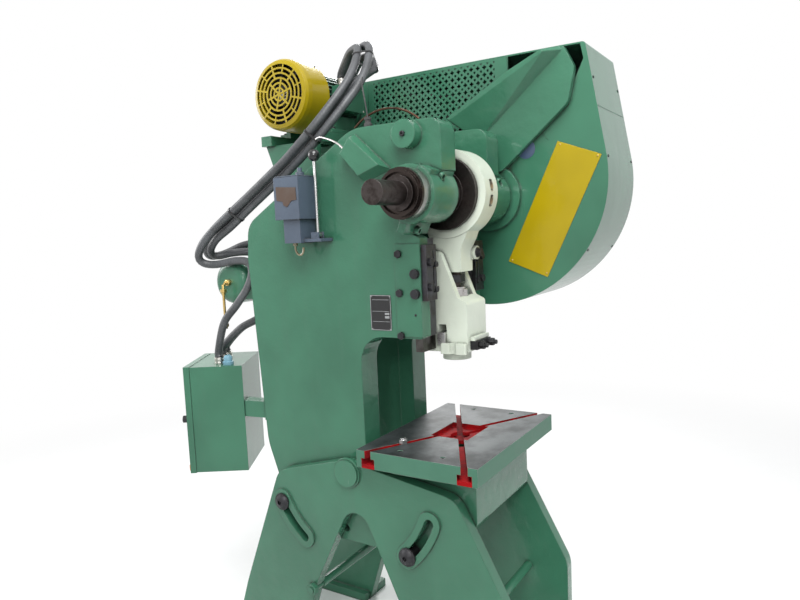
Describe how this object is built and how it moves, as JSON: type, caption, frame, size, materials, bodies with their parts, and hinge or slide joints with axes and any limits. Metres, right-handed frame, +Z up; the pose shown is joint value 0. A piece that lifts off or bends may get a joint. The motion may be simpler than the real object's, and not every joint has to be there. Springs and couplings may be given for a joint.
{
  "type": "open-back inclinable eccentric press",
  "caption": "Open-back inclinable eccentric press with a tilting C-frame on arched legs, adjustable ball-screw pitman, guarded flywheel drive and slotted table.",
  "frame": {"origin": "on the floor, midway between the four floor-bolt holes and straight under the tilting axis", "axes": "+Z up, -Y towards the operator, +X to the operator's right"},
  "size_m": [1.078, 1.5182, 2.1604],
  "materials": {
    "green_paint": "gloss",
    "cream_paint": "satin",
    "ground_steel": "satin",
    "dark_steel": "satin",
    "cast_iron": "matte",
    "bronze": "satin",
    "yellow_paint": "gloss",
    "grey_paint": "satin",
    "black_plastic": "gloss",
    "belt_rubber": "matte",
    "grey_conduit": "satin",
    "copper": "satin"
  },
  "bodies": {
    "stand": {"leg_left": "green_paint", "leg_right": "green_paint", "tie_rods": "green_paint", "tie_nuts": "dark_steel"},
    "frame": {"c_frame": "green_paint", "bearing_caps": "green_paint", "cap_bolts": "dark_steel", "main_bushes": "bronze", "tilt_pins": "ground_steel", "tilt_bolts": "dark_steel", "table_plate": "ground_steel", "table_screws": "dark_steel", "slot_bolt": "ground_steel", "gib_left": "ground_steel", "gib_right": "ground_steel", "gib_liners": "bronze", "gib_bolts": "dark_steel", "cheek_bolts": "dark_steel", "data_plate": "dark_steel", "v_belts": "belt_rubber", "belt_guard": "green_paint", "guard_arm": "green_paint", "guard_mesh": "green_paint", "yellow_plate": "yellow_paint", "motor_mount": "green_paint", "motor_body": "green_paint", "fan_cowl": "yellow_paint", "terminal_box": "green_paint", "oil_pump": "grey_paint", "oil_pipe": "copper", "cabinet": "green_paint", "cabinet_bracket": "green_paint", "air_tank": "green_paint", "glands": "ground_steel", "conduit_a": "grey_conduit", "conduit_b": "grey_conduit", "conduit_c": "grey_conduit"},
    "crank": {"crankshaft": "dark_steel", "eccentric_bush": "dark_steel", "shaft_collar": "ground_steel", "clutch_hub": "cast_iron"},
    "pitman": {"pitman": "cream_paint", "big_end_bush": "bronze", "pinch_bolt": "dark_steel", "lock_nut": "dark_steel"},
    "ball_screw": {"ball_screw": "dark_steel"},
    "slide": {"ram": "cream_paint", "ball_cap": "ground_steel", "shank_clamp": "dark_steel", "clamp_studs": "ground_steel"},
    "knockout": {"knockout_bar": "ground_steel"},
    "flywheel": {"flywheel": "cast_iron", "flywheel_bush": "bronze"},
    "motor_rotor": {"rotor_shaft": "ground_steel", "motor_pulley": "cast_iron", "cooling_fan": "black_plastic"},
    "pump_lever": {"pump_lever": "ground_steel", "pump_knob": "black_plastic"},
    "cabinet_door": {"cabinet_door": "green_paint"},
    "door_latch": {"door_latch": "dark_steel"}
  },
  "joints": [
    {"name": "frame_tilt", "type": "hinge", "parent": "stand", "child": "frame", "pos_m": [0, 0, 0.725], "axis": [-1, 0, 0], "range_deg": [0, 25]},
    {"name": "crank_turn", "type": "hinge", "parent": "frame", "child": "crank", "pos_m": [0, -0.285, 1.595], "axis": [-1, 0, 0], "continuous": true},
    {"name": "pitman_turn", "type": "hinge", "parent": "crank", "child": "pitman", "pos_m": [0, -0.285, 1.6], "axis": [-1, 0, 0], "continuous": true},
    {"name": "screw_turn", "type": "hinge", "parent": "pitman", "child": "ball_screw", "pos_m": [0, -0.285, 1.242], "axis": [0, 0, 1], "range_deg": [-180, 180]},
    {"name": "slide_stroke", "type": "slide", "parent": "frame", "child": "slide", "axis": [0, 0, 1], "range_m": [-0.01, 0]},
    {"name": "knockout_lift", "type": "slide", "parent": "slide", "child": "knockout", "axis": [0, 0, 1], "range_m": [0, 0.022]},
    {"name": "flywheel_turn", "type": "hinge", "parent": "frame", "child": "flywheel", "pos_m": [0, -0.285, 1.595], "axis": [-1, 0, 0], "continuous": true},
    {"name": "motor_turn", "type": "hinge", "parent": "frame", "child": "motor_rotor", "pos_m": [0, 0.348, 1.988], "axis": [-1, 0, 0], "continuous": true},
    {"name": "pump_stroke", "type": "hinge", "parent": "frame", "child": "pump_lever", "pos_m": [-0.245, 0.065, 1.49], "axis": [1, 0, 0], "range_deg": [-5, 18]},
    {"name": "door_swing", "type": "hinge", "parent": "frame", "child": "cabinet_door", "pos_m": [-0.05811, 0.81224, 0.644], "axis": [0, 0, -1], "range_deg": [0, 110]},
    {"name": "latch_turn", "type": "hinge", "parent": "cabinet_door", "child": "door_latch", "pos_m": [-0.29048, 0.66705, 0.839], "axis": [0.5299, -0.848, 0], "range_deg": [0, 90]}
  ],
  "couplings": [
    {"joint": "motor_turn", "follows": "flywheel_turn", "ratio": 5.4444},
    {"joint": "pitman_turn", "follows": "crank_turn", "ratio": -1}
  ]
}
